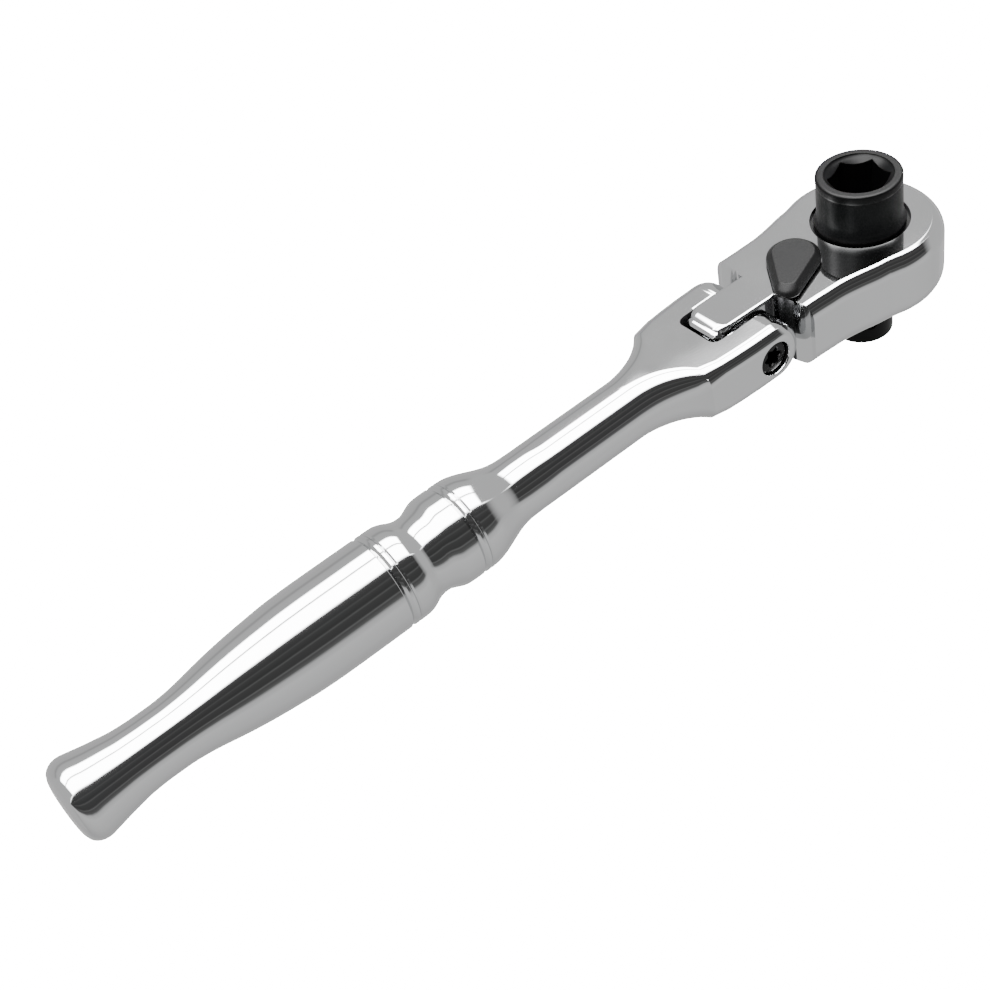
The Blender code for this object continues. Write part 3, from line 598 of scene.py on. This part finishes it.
# ---------------------------------------------------------------- drive
def build_drive():
    """Ratchet drive in one piece: upper socket, flange in the bore, lower socket."""
    n = 144
    rings = []
    for radius, z in ((5.5, -18.3), (5.66, -18.25), (5.77, -18.14), (5.8, -17.98), (5.8, -17.5),
                      (5.8, -7.2), (7.0, -6.6), (7.0, -3.7), (8.7, -3.7), (8.7, 4.1), (7.9, 4.3),
                      (7.9, 6.2), (8.3, 6.25), (8.44, 6.4), (8.47, 6.6), (8.47, 7.1), (8.43, 7.22), (8.3, 7.42),
                      (8.12, 7.75), (8.0, 8.2), (7.92, 8.8), (7.9, 9.5), (7.9, 14.9), (7.88, 15.0),
                      (7.88, 15.1), (7.92, 15.25), (7.94, 15.4), (7.95, 16.3), (7.94, 16.45), (7.86, 16.6),
                      (7.74, 16.7), (7.58, 16.75), (7.3, 16.75)):
        rings.append(ring_z(radius, z, n))
    drive = loft("drive_sockets", rings)
    turn = math.radians(HEX_TURN_DEG)
    for across, z0, z1 in ((UPPER_HEX, 5.25, 19.0), (LOWER_HEX, -20.0, -7.3)):
        r = across / math.sqrt(3)
        cut(drive, loft("tool", [ring_z(r, z0, 6, turn=turn), ring_z(r, z1, 6, turn=turn)]))
    cut(drive, lathe_z("tool", [(4.9, 15.3), (5.9, 16.2), (6.25, 16.4), (6.4, 16.6), (6.45, 18.0)], 120))
    cut(drive, lathe_z("tool", [(4.8, -19.3), (4.7, -18.3), (3.9, -17.5)], 96))
    hole = lathe_z("tool", [(1.3, 4.2), (1.3, 5.5), (1.5, 6.0), (1.6, 7.0)], 40)
    hole.data.transform(Matrix.Translation(Vector((0, 0, BALL_Z)) * MM)
                        @ Matrix.Rotation(math.radians(BALL_DEG), 4, "Z")
                        @ Matrix.Rotation(math.pi / 2, 4, "Y"))
    cut(drive, hole)
    soften(drive, 0.1, 2)
    return finish_piece(drive, socket_black, "drive", ["drive_gear"])


# ---------------------------------------------------------------- lever
def teardrop(hub, tip, length, steps):
    lean = math.acos((hub - tip) / length)
    points = []
    for i in range(steps + 1):
        a = lean + (2 * math.pi - 2 * lean) * i / steps
        points.append((hub * math.cos(a), hub * math.sin(a)))
    half = steps // 2
    for i in range(half + 1):
        a = -lean + 2 * lean * i / half
        points.append((length + tip * math.cos(a), tip * math.sin(a)))
    return points


def build_lever():
    """Thumb lever: deep side walls, chamfered shoulders and a flat top that ends in a slope."""
    base = HEAD_HALF_HEIGHT + 0.3
    rings = []
    for hub, tip, length, height in (
            (4.8, 2.3, 8.9, 0.0), (4.95, 2.42, 8.97, 0.12), (4.98, 2.44, 8.97, 0.35),
            (4.94, 2.4, 8.92, 0.85), (4.84, 2.3, 8.8, 1.2), (4.7, 2.18, 8.62, 1.45),
            (4.0, 1.88, 8.0, 2.05), (3.88, 1.8, 7.9, 2.14), (3.72, 1.7, 7.8, 2.18)):
        rings.append([(x, y, base + height) for x, y in teardrop(hub, tip, length, 64)])
    lever = loft("reversing_thumb_lever", rings)
    join(lever, lathe_z("tool", [(1.6, -5.5), (1.6, -4.0), (2.3, -3.9), (2.3, 7.9)], 48))
    lever.data.transform(Matrix.Translation(Vector((LEVER_X, 0, 0)) * MM)
                         @ Matrix.Rotation(math.radians(180 + LEVER_SWING_DEG), 4, "Z"))
    weighted = lever.modifiers.new("flat_faces_flat", "WEIGHTED_NORMAL")
    weighted.keep_sharp = True
    return finish_piece(lever, lever_black, "lever", ["reversing_lever"], angle=60.0)


def build_screw():
    """Pivot screw, set back in its counterbore, with a six-lobed recess."""
    inner = -YOKE_HALF_WIDTH + COUNTERBORE_DEPTH - 0.03
    top = -YOKE_HALF_WIDTH + 0.75
    r = COUNTERBORE_RADIUS - 0.12
    screw = lathe_y("pivot_screw_shouldered", [(r - 0.5, top), (r - 0.3, top + 0.05), (r - 0.1, top + 0.18),
                                               (r, top + 0.45), (r, inner), (SCREW_SHANK_RADIUS, inner),
                                               (SCREW_SHANK_RADIUS, 10.3), (1.6, 10.8)],
                     64, -HINGE_BACK, 0)
    lobes = []
    for i in range(96):
        a = 2 * math.pi * i / 96
        radius = 1.62 + 0.26 * math.cos(6 * a)
        lobes.append((radius * math.cos(a), radius * math.sin(a)))
    x0 = -HINGE_BACK
    cut(screw, loft("tool", [[(x0 + x * 1.12, top - 1, z * 1.12) for x, z in lobes],
                             [(x0 + x * 1.12, top - 0.02, z * 1.12) for x, z in lobes],
                             [(x0 + x, top + 0.2, z) for x, z in lobes],
                             [(x0 + x, top + 1.7, z) for x, z in lobes]]))
    return finish_piece(screw, screw_black, "handle", ["pivot_screw"], tilted=True)


build_handle()
build_head()
build_drive()
build_lever()
build_screw()

CARRIED = {"retaining_ring": socket_black, "thrust_washer": ground, "pawl": ground, "pawl_pin": ground,
           "pawl_plunger": ground, "pawl_spring": wire, "lever_base_washer": lever_black,
           "lever_clip": wire, "bit_retaining_ball": ground, "pivot_washer_near": ground,
           "pivot_washer_far": ground, "flex_detent_ball": ground, "flex_detent_spring": wire}
for name, material in CARRIED.items():
    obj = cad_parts[name]
    if not obj.material_slots:
        obj.data.materials.append(material)
    for entry in obj.material_slots:
        entry.material = material


# ---------------------------------------------------------------- stage
def studio_floor():
    mesh = bpy.data.meshes.new("studio_floor")
    size = 1.6
    mesh.from_pydata([(-size, -size, FLOOR_DROP), (size, -size, FLOOR_DROP), (size, size, FLOOR_DROP),
                      (-size, size, FLOOR_DROP)], [], [(0, 1, 2, 3)])
    floor = bpy.data.objects.new("studio_floor", mesh)
    bpy.context.scene.collection.objects.link(floor)
    material = bpy.data.materials.new("pale_floor")
    material.use_nodes = True
    shader = material.node_tree.nodes["Principled BSDF"]
    shader.inputs["Base Color"].default_value = (0.9, 0.9, 0.9, 1.0)
    shader.inputs["Roughness"].default_value = 0.9
    shader.inputs["Specular IOR Level"].default_value = 0.0
    shader.inputs["Emission Color"].default_value = (1.0, 1.0, 1.0, 1.0)
    shader.inputs["Emission Strength"].default_value = 14.0
    mesh.materials.append(material)
    floor.visible_glossy = False
    floor.visible_diffuse = False


def grey_ramp(tree, stops, source):
    """Ramp through (position, value) stops, read at the source socket."""
    ramp = tree.nodes.new("ShaderNodeValToRGB")
    elements = ramp.color_ramp.elements
    while len(elements) < len(stops):
        elements.new(0.5)
    for element, (at, value) in zip(elements, stops):
        element.position = at
        element.color = (value, value, value, 1.0)
    tree.links.new(source, ramp.inputs["Fac"])
    return ramp


def studio_world():
    """Soft box overhead, dark front, grey surroundings, as seen in the plating.

    The bands are (degrees about the handle's line from straight up, brightness), positive to the front.
    """
    world = bpy.data.worlds.new("studio")
    bpy.context.scene.world = world
    world.use_nodes = True
    tree = world.node_tree
    tree.nodes.clear()
    out = tree.nodes.new("ShaderNodeOutputWorld")
    place = tree.nodes.new("ShaderNodeTexCoord")
    split = tree.nodes.new("ShaderNodeSeparateXYZ")
    tree.links.new(place.outputs["Generated"], split.inputs["Vector"])
    flip = node(tree, "ShaderNodeMath")
    flip.operation = "MULTIPLY"
    flip.inputs[1].default_value = -1.0
    tree.links.new(split.outputs["Y"], flip.inputs[0])
    angle = node(tree, "ShaderNodeMath")
    angle.operation = "ARCTAN2"
    tree.links.new(flip.outputs["Value"], angle.inputs[0])
    tree.links.new(split.outputs["Z"], angle.inputs[1])
    scale = node(tree, "ShaderNodeMapRange")
    scale.inputs["From Min"].default_value = -math.pi
    scale.inputs["From Max"].default_value = math.pi
    tree.links.new(angle.outputs["Value"], scale.inputs["Value"])
    bands = ((-180, 0.62), (-130, 0.76), (-75, 0.72), (-67, 0.50), (-60, 0.76), (-41, 0.80),
             (-37, SOFTBOX), (-17, SOFTBOX), (-15.6, 1.4), (-13, 1.4), (-11, SOFTBOX), (19, SOFTBOX),
             (25, 0.15), (31, 0.085), (40, 0.07), (42, 0.12), (45, 0.08), (56, 0.06), (59, 0.15),
             (62, 0.08), (76, 0.07), (79, 0.2), (82, 0.10), (90, 0.16), (97, 0.74), (110, 0.90),
             (150, 0.78), (180, 0.62))
    stops = [((degrees + 180) / 360, value) for degrees, value in bands]
    around = grey_ramp(tree, stops, scale.outputs["Result"])
    along = node(tree, "ShaderNodeMapRange")
    along.inputs["From Min"].default_value = -1.0
    along.inputs["From Max"].default_value = 1.0
    tree.links.new(split.outputs["X"], along.inputs["Value"])
    softbox_length = grey_ramp(tree, ((0.0, 0.0), (0.15, 0.0), (0.19, 1.0), (0.80, 1.0), (0.83, 0.0)),
                               along.outputs["Result"])
    front_length = grey_ramp(tree, ((0.0, 1.0), (0.5, 1.0), (0.85, 1.0), (0.92, 0.0)),
                             along.outputs["Result"])
    front = node(tree, "ShaderNodeMath")
    front.operation = "GREATER_THAN"
    front.inputs[1].default_value = (22.0 + 180.0) / 360.0
    tree.links.new(scale.outputs["Result"], front.inputs[0])
    side = node(tree, "ShaderNodeMix")
    side.data_type = "FLOAT"
    tree.links.new(front.outputs["Value"], side.inputs["Factor"])
    tree.links.new(softbox_length.outputs["Color"], side.inputs["A"])
    tree.links.new(front_length.outputs["Color"], side.inputs["B"])
    room = node(tree, "ShaderNodeMix")
    room.data_type = "RGBA"
    tree.links.new(side.outputs["Result"], room.inputs["Factor"])
    room.inputs["A"].default_value = (ROOM_GREY, ROOM_GREY, ROOM_GREY, 1.0)
    tree.links.new(around.outputs["Color"], room.inputs["B"])
    studio = tree.nodes.new("ShaderNodeBackground")
    tree.links.new(room.outputs["Result"], studio.inputs["Color"])
    plain = tree.nodes.new("ShaderNodeBackground")
    plain.inputs["Color"].default_value = (1.0, 1.0, 1.0, 1.0)
    plain.inputs["Strength"].default_value = 16.0
    ray = tree.nodes.new("ShaderNodeLightPath")
    mix = tree.nodes.new("ShaderNodeMixShader")
    tree.links.new(ray.outputs["Is Camera Ray"], mix.inputs["Fac"])
    tree.links.new(studio.outputs["Background"], mix.inputs[1])
    tree.links.new(plain.outputs["Background"], mix.inputs[2])
    tree.links.new(mix.outputs["Shader"], out.inputs["Surface"])


def camera():
    data = bpy.data.cameras.new("camera")
    data.sensor_width = 36.0
    data.lens = 62.31
    data.clip_start = 0.01
    data.clip_end = 10.0
    obj = bpy.data.objects.new("camera", data)
    bpy.context.scene.collection.objects.link(obj)
    right = Vector((0.77736, -0.60718, -0.16443))
    back = Vector((-0.35769, -0.64168, 0.67846))
    back.normalize()
    right = (right - back * right.dot(back)).normalized()
    up = back.cross(right)
    rotation = Matrix((right, up, back)).transposed()
    obj.matrix_world = Matrix.Translation((-0.112628, -0.186429, 0.214599)) @ rotation.to_4x4()
    bpy.context.scene.camera = obj


studio_floor()
studio_world()
camera()
